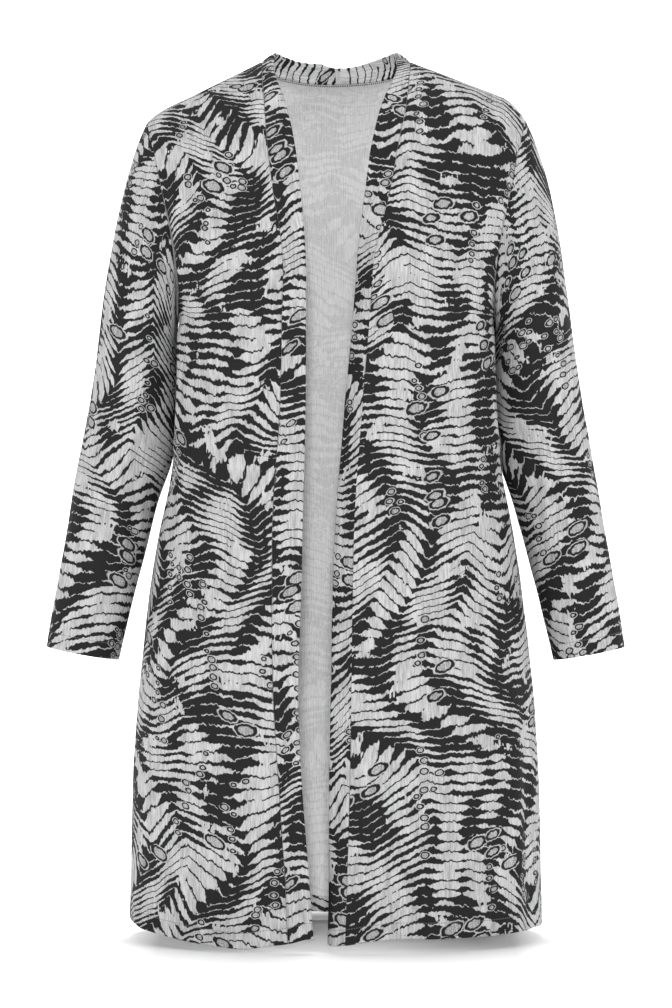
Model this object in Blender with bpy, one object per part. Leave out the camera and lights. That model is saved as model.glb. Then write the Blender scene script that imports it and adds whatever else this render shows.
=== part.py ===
"""A long open v-neck cardigan, worn and hollow, as seven sewn pieces of knit cloth.

Metres, +Z up. The wearer faces -Y. The origin is midway between the two high shoulder points,
where the wearer's shoulders hold the garment up. Every panel is a grid of points laid on one
form (body or sleeve) between its seams, given a wall of the cloth's thickness.
"""
import math

import bpy
import numpy as np

# Cloth and seams
CLOTH = 0.0018
BAND_CLOTH = 0.0026
SEAM_GAP = 0.0003

# Heights below the high shoulder points
HEM_Z = -0.973
UNDERARM_Z = -0.288
BACK_NECK_Z = -0.015

# Shoulder line, from the neck point down to the tip, where it rounds over. The wearer's right
# shoulder slopes a little more than the left
NECK_X = 0.083
NECK_Z = -0.001
TIP_X = 0.212
RIGHT_SLOPE = math.tan(math.radians(25.6))
LEFT_SLOPE = math.tan(math.radians(20.5))
SHOULDER_ROUND_X = 0.185
RIGHT_ROUND = 9.3
LEFT_ROUND = 21.0

# Body section: a super-ellipse, closed above by an arch over the shoulder line
SQUARENESS = 2.3
ARCH_DROP = 0.125
ARCH_POWER = 2.0

# Body sections: height, half width, depth of the front, depth of the back
SECTIONS = np.array([
    (-0.980, 0.2310, 0.136, 0.130),
    (-0.900, 0.2300, 0.135, 0.130),
    (-0.800, 0.2270, 0.133, 0.130),
    (-0.700, 0.2210, 0.130, 0.129),
    (-0.620, 0.2125, 0.127, 0.125),
    (-0.540, 0.2005, 0.122, 0.118),
    (-0.470, 0.1870, 0.118, 0.112),
    (-0.420, 0.1800, 0.118, 0.110),
    (-0.370, 0.1772, 0.120, 0.111),
    (-0.330, 0.1765, 0.122, 0.113),
    (-0.288, 0.1775, 0.124, 0.116),
    (-0.260, 0.1835, 0.125, 0.117),
    (-0.230, 0.1925, 0.125, 0.118),
    (-0.200, 0.2015, 0.124, 0.118),
    (-0.170, 0.2110, 0.122, 0.117),
    (-0.140, 0.2190, 0.119, 0.116),
    (-0.110, 0.2260, 0.116, 0.115),
    (-0.070, 0.2340, 0.112, 0.113),
    (0.000, 0.2400, 0.108, 0.110),
    (0.050, 0.2400, 0.106, 0.108),
])

# Armhole seam seen from the front: height, distance from the middle
ARMHOLE = np.array([
    (-0.288, 0.1775),
    (-0.260, 0.1760),
    (-0.230, 0.1780),
    (-0.200, 0.1820),
    (-0.170, 0.1885),
    (-0.140, 0.1950),
    (-0.110, 0.2010),
    (-0.090, 0.2065),
    (-0.064, 0.2125),
])

# Front band, wearer's right: height of the seam, seam x, free edge x, lift and turn-in of the edge
RIGHT_BAND = np.array([
    (-0.973, -0.0520, -0.0240, 0.000, 0.000),
    (-0.900, -0.0555, -0.0290, 0.000, 0.000),
    (-0.800, -0.0620, -0.0365, 0.000, 0.001),
    (-0.700, -0.0680, -0.0405, 0.000, 0.001),
    (-0.600, -0.0695, -0.0375, 0.000, 0.000),
    (-0.500, -0.0685, -0.0355, 0.000, 0.000),
    (-0.400, -0.0615, -0.0330, 0.000, 0.000),
    (-0.300, -0.0590, -0.0325, 0.000, 0.000),
    (-0.220, -0.0585, -0.0330, 0.000, 0.000),
    (-0.160, -0.0680, -0.0380, 0.001, 0.000),
    (-0.100, -0.0755, -0.0460, 0.002, 0.000),
    (-0.060, -0.0785, -0.0555, 0.004, 0.000),
    (-0.025, -0.0815, -0.0655, 0.009, 0.001),
    (-0.001, -0.0830, -0.0675, 0.0111, 0.002),
])

# Front band, wearer's left: its edge turns in, so it shows narrower from the front
LEFT_BAND = np.array([
    (-0.973, 0.0097, -0.0097, 0.000, 0.018),
    (-0.900, 0.0120, -0.0090, 0.000, 0.018),
    (-0.800, 0.0150, -0.0080, 0.000, 0.017),
    (-0.700, 0.0165, -0.0065, 0.000, 0.017),
    (-0.600, 0.0178, -0.0045, 0.000, 0.018),
    (-0.500, 0.0205, 0.0000, 0.000, 0.020),
    (-0.400, 0.0280, 0.0085, 0.000, 0.021),
    (-0.300, 0.0360, 0.0175, 0.000, 0.022),
    (-0.220, 0.0430, 0.0235, 0.000, 0.021),
    (-0.160, 0.0580, 0.0310, 0.001, 0.010),
    (-0.100, 0.0690, 0.0400, 0.002, 0.003),
    (-0.060, 0.0770, 0.0510, 0.004, 0.001),
    (-0.025, 0.0810, 0.0645, 0.009, 0.001),
    (-0.001, 0.0830, 0.0675, 0.0119, 0.002),
])

# Band round the back neck: share of the way from centre back, lean and lift of its free edge
RIGHT_COLLAR = np.array([
    (0.00, 0.0060, 0.0180),
    (0.12, 0.0065, 0.0198),
    (0.25, 0.0070, 0.0231),
    (0.36, 0.0080, 0.0221),
    (0.60, 0.0110, 0.0191),
    (0.80, 0.0135, 0.0172),
    (0.90, 0.0145, 0.0155),
    (1.00, 0.0155, 0.0111),
])
LEFT_COLLAR = np.array([
    (0.00, 0.0060, 0.0180),
    (0.25, 0.0070, 0.0188),
    (0.36, 0.0080, 0.0196),
    (0.60, 0.0110, 0.0208),
    (0.80, 0.0135, 0.0193),
    (0.90, 0.0145, 0.0175),
    (1.00, 0.0155, 0.0119),
])

# Sleeve sections: inner point x, z, outer point x, z, half depth, middle y
SLEEVE = np.array([
    (0.1781, -0.322, 0.2662, -0.304, 0.064, 0.010),
    (0.1781, -0.382, 0.2752, -0.364, 0.060, 0.018),
    (0.1834, -0.443, 0.2857, -0.425, 0.055, 0.015),
    (0.2010, -0.500, 0.2953, -0.482, 0.050, 0.006),
    (0.2155, -0.557, 0.3045, -0.541, 0.045, -0.004),
    (0.2290, -0.614, 0.3140, -0.599, 0.041, -0.012),
    (0.2420, -0.671, 0.3225, -0.656, 0.037, -0.017),
])
CAP_TURN = (math.radians(88.0), math.radians(64.0))
CAP_PULL = 0.95

# Soft vertical folds of the skirt: side, front or back, angle from the middle, width, depth, top
FOLDS = (
    (1, -1, 1.18, 0.11, 0.006, -0.640),
    (-1, -1, 0.98, 0.13, 0.004, -0.700),
    (1, 1, 0.90, 0.14, 0.006, -0.620),
    (-1, 1, 0.80, 0.15, 0.006, -0.640),
    (-1, 1, 1.22, 0.11, 0.004, -0.700),
)

# Grid lines: rows below the underarm, rows up the armhole, columns of a front, of half the back
# neck, across a band, rows of the sleeve cap and of the sleeve
LOWER_ROWS = 16
ARMHOLE_ROWS = 11
FRONT_COLUMNS = 11
NECK_COLUMNS = 4
BAND_COLUMNS = 2
CAP_ROWS = 8
SLEEVE_ROWS = 14

# Knit colours: mid grey of the print, and the paler band
FRONT_GREY = (0.20, 0.20, 0.20, 1.0)
BACK_GREY = (0.23, 0.23, 0.23, 1.0)
SLEEVE_GREY = (0.17, 0.17, 0.17, 1.0)
BAND_GREY = (0.26, 0.26, 0.26, 1.0)


def smooth(at, stations, values):
    """A smooth curve through (stations, values): cubic pieces whose slopes are central differences."""
    slopes = np.gradient(values, stations)
    piece = np.clip(np.searchsorted(stations, at) - 1, 0, len(stations) - 2)
    step = stations[piece + 1] - stations[piece]
    t = (at - stations[piece]) / step
    start = values[piece] * (1 + 2 * t) * (1 - t) ** 2 + slopes[piece] * step * t * (1 - t) ** 2
    end = values[piece + 1] * t * t * (3 - 2 * t) - slopes[piece + 1] * step * t * t * (1 - t)
    return start + end


def unit(vectors):
    """The same vectors, one long."""
    return vectors / np.maximum(np.linalg.norm(vectors, axis=-1, keepdims=True), 1e-12)


def shoulder_z(x):
    """Height of the shoulder line: a slope that rounds over at the tip and flattens across the neck."""
    out = np.abs(x)
    slope = np.where(x < 0, RIGHT_SLOPE, LEFT_SLOPE)
    rounding = np.where(x < 0, RIGHT_ROUND, LEFT_ROUND) * np.maximum(out - SHOULDER_ROUND_X, 0.0) ** 2
    across_neck = (RIGHT_SLOPE + LEFT_SLOPE) / 2 * (NECK_X ** 2 - out ** 2) / (2 * NECK_X)
    return NECK_Z + np.where(out < NECK_X, across_neck, slope * (NECK_X - out)) - rounding


def half_width(z):
    """Half width of the body section at a height."""
    return smooth(z, SECTIONS[:, 0], SECTIONS[:, 1])


def body_depth(x, z, face):
    """How far the body stands from the shoulder plane: super-ellipse section times shoulder arch."""
    depth = smooth(z, SECTIONS[:, 0], SECTIONS[:, 2 if face < 0 else 3])
    across = np.clip(np.abs(x) / half_width(z), 0.0, 1.0)
    section = depth * (1.0 - across ** SQUARENESS) ** (1.0 / SQUARENESS)
    rise = np.clip((shoulder_z(x) - z) / ARCH_DROP, 0.0, 1.0)
    return section * (1.0 - (1.0 - rise) ** ARCH_POWER) ** (1.0 / ARCH_POWER)


def section_angle(x, z):
    """Angle on the super-ellipse section, 0 at the middle and a right angle at the side."""
    return np.arcsin(np.clip(np.abs(x) / half_width(z), 0.0, 1.0) ** (SQUARENESS / 2.0))


def body_point(x, z, face):
    """Points of the body form at (x, z), on its front (-1) or back (+1), with the skirt's folds."""
    y = face * body_depth(x, z, face)
    angle = section_angle(x, z)
    pull = np.zeros_like(y)
    for side, fold_face, middle, spread, deep, top in FOLDS:
        if fold_face == face:
            grow = np.clip((top - z) / (top - HEM_Z), 0.0, 1.0) ** 1.3
            near = np.exp(-((angle - middle) / spread) ** 2) * (x * side > 0)
            pull = pull + deep * grow * near
    return np.stack([x - np.sign(x) * pull * np.sin(angle), y - face * pull * np.cos(angle), z], axis=-1)


def body_normal(x, z, face):
    """Outward normal of the body form, from small steps in x and z."""
    step = 0.0006
    inner_x = np.sign(x) * np.minimum(np.abs(x), half_width(z) - 2 * step)
    low_z = np.minimum(z, shoulder_z(x) - 2 * step)
    slope_x = (body_depth(inner_x + step, low_z, face) - body_depth(inner_x - step, low_z, face)) / (2 * step)
    slope_z = (body_depth(inner_x, low_z + step, face) - body_depth(inner_x, low_z - step, face)) / (2 * step)
    return unit(np.stack([-slope_x, np.full_like(x, float(face)), -slope_z], axis=-1))


def ridge_normal(x):
    """Normal of the shoulder line, which both panels share there."""
    step = 0.0005
    slope = (shoulder_z(x + step) - shoulder_z(x - step)) / (2 * step)
    return unit(np.stack([-slope, np.zeros_like(x), np.ones_like(x)], axis=-1))


def grid_normals(points):
    """Normals of a grid of points, from the differences along its rows and columns."""
    return unit(np.cross(np.gradient(points, axis=1), np.gradient(points, axis=0)))


def row_levels():
    """Row values: height shares 0..1 from hem to underarm, then from underarm to shoulder."""
    lower = np.linspace(0.0, 1.0, LOWER_ROWS + 1)
    upper = 0.5 - 0.5 * np.cos(np.pi * np.linspace(0.0, 1.0, ARMHOLE_ROWS + 1))
    return lower, upper


def row_heights(top):
    """Height of each grid point: level rows below the underarm, then rows closing on the top line."""
    lower, upper = row_levels()
    below = (HEM_Z + (UNDERARM_Z - HEM_Z) * lower)[:, None] + np.zeros_like(top)[None, :]
    above = UNDERARM_Z + (top[None, :] - UNDERARM_Z) * upper[1:, None]
    return np.vstack([below, above])


def top_share():
    """How far each row has turned from section spacing to the top line's spacing."""
    upper = row_levels()[1]
    return np.concatenate([np.zeros(LOWER_ROWS + 1), upper[1:]])[:, None]


def edge_x(heights):
    """Outer limit of the body panels: the side seam below the underarm, the armhole above."""
    armhole = smooth(np.maximum(heights, UNDERARM_Z), ARMHOLE[:, 0], ARMHOLE[:, 1])
    return np.where(heights < UNDERARM_Z, half_width(np.minimum(heights, UNDERARM_Z)), armhole)


def front_grid(side):
    """A front panel from band seam to side seam, hem to shoulder; side is -1 right, +1 left."""
    band = RIGHT_BAND if side < 0 else LEFT_BAND
    share = np.linspace(0.0, 1.0, FRONT_COLUMNS + 1)
    z = row_heights(shoulder_z(side * (NECK_X + (TIP_X - NECK_X) * share)))
    inner = np.abs(smooth(z[:, :1], band[:, 0], band[:, 1]))
    outer = edge_x(z[:, -1:])
    start = section_angle(inner, z[:, :1])
    end = section_angle(outer, z[:, -1:])
    angle = start + (end - start) * share
    round_x = half_width(z) * np.sin(angle) ** (2.0 / SQUARENESS)
    turn = top_share()
    x = side * (round_x * (1 - turn) + (inner + (outer - inner) * share) * turn)
    x[:, 0] = side * inner[:, 0]
    x[:, -1] = side * outer[:, 0]
    points = body_point(x, z, -1)
    normals = body_normal(x, z, -1)
    normals[: LOWER_ROWS + 1, -1] = (side, 0.0, 0.0)
    normals[-1] = ridge_normal(x[-1])
    return points, normals


def back_grid():
    """The back panel, side to side, with its top line over both shoulders and the back neck."""
    share = np.linspace(0.0, 1.0, FRONT_COLUMNS + 1)
    shoulder_x = NECK_X + (TIP_X - NECK_X) * share
    across = np.linspace(-1.0, 1.0, 2 * NECK_COLUMNS + 1)[1:-1]
    neck_x = NECK_X * np.sin(across * np.pi / 2)
    dip = np.sqrt(1.0 - (neck_x / NECK_X) ** 2)
    neck_z = NECK_Z + (BACK_NECK_Z - NECK_Z) * dip
    top = np.concatenate([shoulder_z(-shoulder_x)[::-1], neck_z, shoulder_z(shoulder_x)])
    z = row_heights(top)
    start = section_angle(NECK_X, z[:, :1])
    outer = {side: edge_x(z[:, column, None]) for side, column in ((-1, 0), (1, -1))}
    angles = {}
    lines = {}
    for side, column in ((-1, 0), (1, -1)):
        end = section_angle(outer[side], z[:, column, None])
        angles[side] = start + (end - start) * share
        lines[side] = NECK_X + (outer[side] - NECK_X) * share
    angle = np.hstack([-angles[-1][:, ::-1], start * across, angles[1]])
    round_x = np.sign(angle) * half_width(z) * np.abs(np.sin(angle)) ** (2.0 / SQUARENESS)
    flat_neck = np.broadcast_to(neck_x, (len(z), len(neck_x)))
    line_x = np.hstack([-lines[-1][:, ::-1], flat_neck, lines[1]])
    turn = top_share()
    x = round_x * (1 - turn) + line_x * turn
    x[:, 0] = -outer[-1][:, 0]
    x[:, -1] = outer[1][:, 0]
    points = body_point(x, z, 1)
    normals = body_normal(x, z, 1)
    normals[: LOWER_ROWS + 1, 0] = (-1.0, 0.0, 0.0)
    normals[: LOWER_ROWS + 1, -1] = (1.0, 0.0, 0.0)
    normals[-1, : FRONT_COLUMNS + 1] = ridge_normal(x[-1, : FRONT_COLUMNS + 1])
    normals[-1, -FRONT_COLUMNS - 1:] = ridge_normal(x[-1, -FRONT_COLUMNS - 1:])
    return points, normals


def band_grid(side, front, back):
    """A band half, hem to centre back: its seam is the panels' own points, its free edge the table's."""
    front_points, front_normals = front
    back_points, back_normals = back
    band, collar = (RIGHT_BAND, RIGHT_COLLAR) if side < 0 else (LEFT_BAND, LEFT_COLLAR)
    middle = FRONT_COLUMNS + NECK_COLUMNS
    neck = slice(middle - NECK_COLUMNS + 1, middle + 1) if side < 0 else slice(middle, middle + NECK_COLUMNS)
    neck_points = back_points[-1, neck] if side < 0 else back_points[-1, neck][::-1]
    neck_normals = back_normals[-1, neck] if side < 0 else back_normals[-1, neck][::-1]
    seam = np.vstack([front_points[:, 0], neck_points])
    normals = np.vstack([front_normals[:, 0], neck_normals])
    z = front_points[:, 0, 2]
    edge_z = z + smooth(z, band[:, 0], band[:, 3])
    edge_x_at = smooth(z, band[:, 0], band[:, 2])
    edge = body_point(edge_x_at, edge_z, -1)
    edge[:, 1] += smooth(z, band[:, 0], band[:, 4])
    from_middle = np.abs(neck_points[:, 0]) / NECK_X
    lean = smooth(from_middle, collar[:, 0], collar[:, 1])
    lift = smooth(from_middle, collar[:, 0], collar[:, 2])
    inward = unit(neck_points * (-1.0, -1.0, 0.0))
    back_edge = neck_points + inward * lean[:, None] + np.stack([0 * lift, 0 * lift, lift], axis=-1)
    edge = np.vstack([edge, back_edge])
    across = np.linspace(0.0, 1.0, BAND_COLUMNS + 1)[None, :, None]
    points = seam[:, None] * (1 - across) + edge[:, None] * across
    own = grid_normals(points) * -side
    own[:, 0] = normals
    own[-1] = unit(own[-1] * (0.0, 1.0, 1.0))
    return points, own


def sleeve_grid(side, front, back):
    """A sleeve as rings: the armhole loop, a cap that fans from the underarm, then tube sections."""
    front_loop = front[0][LOWER_ROWS:, -1]
    back_loop = back[0][LOWER_ROWS:, -1 if side > 0 else 0]
    loop = np.vstack([front_loop, back_loop[-2:0:-1]])
    lengths = np.linalg.norm(np.diff(front_loop, axis=0), axis=1)
    share = np.concatenate([[0.0], np.cumsum(lengths)]) / lengths.sum()
    turn = np.pi * np.concatenate([share, 2.0 - share[-2:0:-1]])
    stations = np.linspace(0.0, len(SLEEVE) - 1.0, SLEEVE_ROWS + 1)
    rows = np.arange(len(SLEEVE), dtype=float)
    inner_x, inner_z, outer_x, outer_z, deep, middle = (smooth(stations, rows, SLEEVE[:, k]) for k in range(6))
    mean_x = ((inner_x + outer_x) / 2)[:, None] - (outer_x - inner_x)[:, None] / 2 * np.cos(turn)
    mean_z = ((inner_z + outer_z) / 2)[:, None] - (outer_z - inner_z)[:, None] / 2 * np.cos(turn)
    mean_y = middle[:, None] - deep[:, None] * np.sin(turn)
    tube = np.stack([side * mean_x, mean_y, mean_z], axis=-1)
    reach = np.linalg.norm(tube[0] - loop, axis=1)[:, None]
    high = ((1 - np.cos(turn)) / 2)[:, None]
    tilt = CAP_TURN[0] + (CAP_TURN[1] - CAP_TURN[0]) * high
    leave = np.hstack([side * np.cos(tilt), 0 * tilt, -np.sin(tilt)]) * reach * CAP_PULL
    arrive = unit(tube[1] - tube[0]) * reach
    t = np.linspace(0.0, 1.0, CAP_ROWS + 1)[:-1, None, None]
    cap = (loop * (1 + 2 * t) * (1 - t) ** 2 + leave * t * (1 - t) ** 2
           + tube[0] * t * t * (3 - 2 * t) - arrive * t * t * (1 - t))
    rings = np.vstack([cap, tube])
    wrapped = np.concatenate([rings[:, -1:], rings, rings[:, :1]], axis=1)
    normals = grid_normals(wrapped)[:, 1:-1] * -side
    return rings, normals


def part_armhole(side, front, back, sleeve):
    """Part the panels from the sleeve along the armhole, each wall kept on its own side of the seam."""
    rings, ring_normals = sleeve
    loop = rings[0].copy()
    column = -1 if side > 0 else 0
    inner_front = front[0][LOWER_ROWS:, -2]
    inner_back = back[0][LOWER_ROWS:, -2 if side > 0 else 1]
    before = np.vstack([inner_front, inner_back[-2:0:-1]])
    along = unit(np.roll(loop, -1, axis=0) - np.roll(loop, 1, axis=0))
    across = unit(loop - before) + unit(rings[1] - loop) + np.array([0.8 * side, 0.0, 0.0])
    across = unit(across - along * (across * along).sum(axis=1, keepdims=True))
    rings[0] = loop + across * SEAM_GAP / 2
    lean = (ring_normals[0] * across).sum(axis=1, keepdims=True)
    ring_normals[0] = unit(ring_normals[0] - across * np.maximum(lean, 0.0))
    for points, normals, at, ring in (
            (front[0], front[1], -1, np.arange(ARMHOLE_ROWS + 1)),
            (back[0], back[1], column, -np.arange(ARMHOLE_ROWS + 1) % len(loop))):
        edge = normals[LOWER_ROWS:, at]
        lean = (edge * across[ring]).sum(axis=1, keepdims=True)
        normals[LOWER_ROWS:, at] = unit(edge - across[ring] * np.minimum(lean, 0.0))
        points[LOWER_ROWS:, at] -= across[ring] * SEAM_GAP / 2


def draw_back(points, side_of_grid):
    """Move one border of a grid half a seam gap towards its next line of points."""
    half = SEAM_GAP / 2
    if side_of_grid == "first column":
        points[:, 0] += unit(points[:, 1] - points[:, 0]) * half
    elif side_of_grid == "last column":
        points[:, -1] += unit(points[:, -2] - points[:, -1]) * half
    else:
        points[-1] += unit(points[-2] - points[-1]) * half


def wall(name, points, normals, thickness, outward, ring=False):
    """A closed wall: the outer grid, an inner grid one thickness in, and the borders between."""
    rows, columns = points.shape[:2]
    inner = points - normals * thickness
    vertices = np.vstack([points.reshape(-1, 3), inner.reshape(-1, 3)])
    index = np.arange(rows * columns).reshape(rows, columns)
    if ring:
        index = np.hstack([index, index[:, :1]])
    below = rows * columns
    face = np.stack([index[:-1, :-1], index[:-1, 1:], index[1:, 1:], index[1:, :-1]], axis=-1).reshape(-1, 4)
    faces = [face, face[:, ::-1] + below]
    borders = [index[0], index[-1][::-1]]
    if not ring:
        borders = [np.concatenate([index[0], index[1:, -1], index[-1, -2::-1], index[-2::-1, 0]])]
    for border in borders:
        faces.append(np.stack([border[1:], border[:-1], border[:-1] + below, border[1:] + below], axis=-1))
    quads = np.vstack(faces)
    if not outward:
        quads = quads[:, ::-1]
    mesh = bpy.data.meshes.new(name)
    mesh.from_pydata(vertices.tolist(), [], quads.tolist())
    mesh.update()
    mesh.shade_smooth()
    mesh.set_sharp_from_angle(angle=math.radians(50.0))
    piece = bpy.data.objects.new(name, mesh)
    bpy.context.scene.collection.objects.link(piece)
    return piece


def knit(piece, colour):
    """Give a piece its own matt knit material."""
    material = bpy.data.materials.new(piece.name + "_knit")
    material.use_nodes = True
    shader = material.node_tree.nodes["Principled BSDF"]
    shader.inputs["Base Color"].default_value = colour
    shader.inputs["Roughness"].default_value = 0.9
    shader.inputs["Metallic"].default_value = 0.0
    material.diffuse_color = colour
    piece.data.materials.append(material)


def make_cardigan():
    """Cut the seven pieces, part them at their seams and give each its wall."""
    back = back_grid()
    fronts = {side: front_grid(side) for side in (-1, 1)}
    bands = {side: band_grid(side, fronts[side], back) for side in (-1, 1)}
    sleeves = {side: sleeve_grid(side, fronts[side], back) for side in (-1, 1)}
    names = {-1: "right", 1: "left"}
    for side in (-1, 1):
        part_armhole(side, fronts[side], back, sleeves[side])
        draw_back(fronts[side][0], "first column")
        draw_back(fronts[side][0][: LOWER_ROWS + 1], "last column")
        draw_back(fronts[side][0], "last row")
        draw_back(bands[side][0], "first column")
        draw_back(bands[side][0], "last row")
    draw_back(back[0], "last row")
    draw_back(back[0][: LOWER_ROWS + 1], "first column")
    draw_back(back[0][: LOWER_ROWS + 1], "last column")
    knit(wall("back", *back, CLOTH, False), BACK_GREY)
    for side in (-1, 1):
        name = names[side]
        knit(wall(name + "_front", *fronts[side], CLOTH, side > 0), FRONT_GREY)
        knit(wall(name + "_band", *bands[side], BAND_CLOTH, side < 0), BAND_GREY)
        knit(wall(name + "_sleeve", *sleeves[side], CLOTH, side < 0, ring=True), SLEEVE_GREY)


for thing in list(bpy.data.objects):
    bpy.data.objects.remove(thing)
make_cardigan()
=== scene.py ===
"""The looks of a long open v-neck cardigan in a crinkled knit with an animal stripe.

Each panel, sleeve and band half is a closed wall of cloth over the solid it stands for: a grid of
points on the body or sleeve form between its seams, with rounded borders, a turned-up hem and
soft creases. Metres, +Z up, the wearer faces -Y. Cloth coordinates (UV) are metres on the cloth.
"""
import math

import bpy
import numpy as np
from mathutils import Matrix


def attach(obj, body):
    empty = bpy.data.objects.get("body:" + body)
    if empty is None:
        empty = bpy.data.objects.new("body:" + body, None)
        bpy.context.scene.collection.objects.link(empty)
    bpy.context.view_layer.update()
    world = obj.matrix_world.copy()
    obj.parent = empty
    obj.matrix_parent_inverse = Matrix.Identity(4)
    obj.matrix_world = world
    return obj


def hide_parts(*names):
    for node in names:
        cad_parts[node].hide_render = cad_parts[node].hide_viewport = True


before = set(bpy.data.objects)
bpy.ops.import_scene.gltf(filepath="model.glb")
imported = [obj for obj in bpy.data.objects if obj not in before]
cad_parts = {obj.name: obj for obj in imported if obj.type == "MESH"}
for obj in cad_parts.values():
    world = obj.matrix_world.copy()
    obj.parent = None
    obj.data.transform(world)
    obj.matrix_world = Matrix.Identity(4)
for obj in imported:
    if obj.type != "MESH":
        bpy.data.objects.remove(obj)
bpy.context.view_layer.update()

# Cloth and seams. RIM_SINK is the share of the ply by which a face sinks at a rounded border
CLOTH = 0.0018
BAND_CLOTH = 0.0026
BAND_CROWN = 0.0012
SEAM_GAP = 0.0003
BAND_JOIN_GAP = 0.00008
SEAM_ROUND = 0.0013
RIM_SINK = 0.36

# Turned-up hem and its stitching
HEM_DEPTH = 0.0190
HEM_PLY = 0.0012
HEM_PLY_EDGE = 0.0004
HEM_STITCH = 0.0175
STITCH_SINK = 0.00035
STITCH_SPREAD = 0.0012

# Heights below the high shoulder points
HEM_Z = -0.973
UNDERARM_Z = -0.288
BACK_NECK_Z = -0.015

# Shoulder line, from the neck point down to the tip, where it rounds over
NECK_X = 0.083
NECK_Z = -0.001
TIP_X = 0.212
RIGHT_SLOPE = math.tan(math.radians(25.6))
LEFT_SLOPE = math.tan(math.radians(20.5))
SHOULDER_ROUND_X = 0.185
RIGHT_ROUND = 9.3
LEFT_ROUND = 21.0

# Body section: a super-ellipse, closed above by an arch over the shoulder line
SQUARENESS = 2.3
ARCH_DROP = 0.125

# Body sections: height, half width, depth of the front, depth of the back
SECTIONS = np.array([
    (-0.980, 0.2310, 0.136, 0.130),
    (-0.900, 0.2300, 0.135, 0.130),
    (-0.800, 0.2270, 0.133, 0.130),
    (-0.700, 0.2210, 0.130, 0.129),
    (-0.620, 0.2125, 0.127, 0.125),
    (-0.540, 0.2005, 0.122, 0.118),
    (-0.470, 0.1870, 0.118, 0.112),
    (-0.420, 0.1800, 0.118, 0.110),
    (-0.370, 0.1772, 0.120, 0.111),
    (-0.330, 0.1765, 0.122, 0.113),
    (-0.288, 0.1775, 0.124, 0.116),
    (-0.260, 0.1835, 0.125, 0.117),
    (-0.230, 0.1925, 0.125, 0.118),
    (-0.200, 0.2015, 0.124, 0.118),
    (-0.170, 0.2110, 0.122, 0.117),
    (-0.140, 0.2190, 0.119, 0.116),
    (-0.110, 0.2260, 0.116, 0.115),
    (-0.070, 0.2340, 0.112, 0.113),
    (0.000, 0.2400, 0.108, 0.110),
    (0.050, 0.2400, 0.106, 0.108),
])

# Armhole seam seen from the front: height, distance from the middle
ARMHOLE = np.array([
    (-0.288, 0.1775),
    (-0.260, 0.1760),
    (-0.230, 0.1780),
    (-0.200, 0.1820),
    (-0.170, 0.1885),
    (-0.140, 0.1950),
    (-0.110, 0.2010),
    (-0.090, 0.2065),
    (-0.064, 0.2125),
])

# Front bands: height of the seam, seam x, free edge x, lift and turn-in of the edge
RIGHT_BAND = np.array([
    (-0.973, -0.0520, -0.0240, 0.000, 0.000),
    (-0.900, -0.0555, -0.0290, 0.000, 0.000),
    (-0.800, -0.0620, -0.0365, 0.000, 0.001),
    (-0.700, -0.0680, -0.0405, 0.000, 0.001),
    (-0.600, -0.0695, -0.0375, 0.000, 0.000),
    (-0.500, -0.0685, -0.0355, 0.000, 0.000),
    (-0.400, -0.0615, -0.0330, 0.000, 0.000),
    (-0.300, -0.0590, -0.0325, 0.000, 0.000),
    (-0.220, -0.0585, -0.0330, 0.000, 0.000),
    (-0.160, -0.0680, -0.0380, 0.001, 0.000),
    (-0.100, -0.0755, -0.0460, 0.002, 0.000),
    (-0.060, -0.0785, -0.0555, 0.004, 0.000),
    (-0.025, -0.0815, -0.0685, 0.009, 0.001),
    (-0.001, -0.0830, -0.0675, 0.0122, 0.002),
])
LEFT_BAND = np.array([
    (-0.973, 0.0097, -0.0097, 0.000, 0.018),
    (-0.900, 0.0120, -0.0090, 0.000, 0.018),
    (-0.800, 0.0150, -0.0080, 0.000, 0.017),
    (-0.700, 0.0165, -0.0065, 0.000, 0.017),
    (-0.600, 0.0178, -0.0045, 0.000, 0.018),
    (-0.500, 0.0205, 0.0000, 0.000, 0.020),
    (-0.400, 0.0280, 0.0085, 0.000, 0.021),
    (-0.300, 0.0360, 0.0175, 0.000, 0.022),
    (-0.220, 0.0430, 0.0235, 0.000, 0.021),
    (-0.160, 0.0580, 0.0310, 0.001, 0.010),
    (-0.100, 0.0690, 0.0400, 0.002, 0.003),
    (-0.060, 0.0770, 0.0510, 0.004, 0.001),
    (-0.025, 0.0810, 0.0670, 0.009, 0.001),
    (-0.001, 0.0830, 0.0675, 0.0130, 0.002),
])

# Band round the back neck: share of the way from centre back, lean and lift of its free edge
RIGHT_COLLAR = np.array([
    (0.00, 0.0060, 0.0180),
    (0.12, 0.0065, 0.0198),
    (0.25, 0.0070, 0.0231),
    (0.36, 0.0080, 0.0221),
    (0.62, 0.0110, 0.0211),
    (0.80, 0.0135, 0.0212),
    (0.90, 0.0145, 0.0200),
    (0.955, 0.0150, 0.0192),
    (1.00, 0.0155, 0.0144),
])
LEFT_COLLAR = np.array([
    (0.00, 0.0060, 0.0180),
    (0.25, 0.0070, 0.0188),
    (0.36, 0.0080, 0.0196),
    (0.60, 0.0110, 0.0218),
    (0.80, 0.0135, 0.0222),
    (0.90, 0.0145, 0.0212),
    (0.955, 0.0150, 0.0202),
    (1.00, 0.0155, 0.0152),
])

# Sleeve sections: inner point x, z, outer point x, z, half depth, middle y
SLEEVE = np.array([
    (0.1781, -0.322, 0.2662, -0.304, 0.064, 0.010),
    (0.1781, -0.382, 0.2752, -0.364, 0.060, 0.018),
    (0.1834, -0.443, 0.2857, -0.425, 0.055, 0.015),
    (0.2010, -0.500, 0.2953, -0.482, 0.050, 0.006),
    (0.2155, -0.557, 0.3045, -0.541, 0.045, -0.004),
    (0.2290, -0.614, 0.3140, -0.599, 0.041, -0.012),
    (0.2420, -0.671, 0.3225, -0.656, 0.037, -0.017),
])
CAP_TURN = (math.radians(88.0), math.radians(64.0))
CAP_PULL = 0.95

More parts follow.
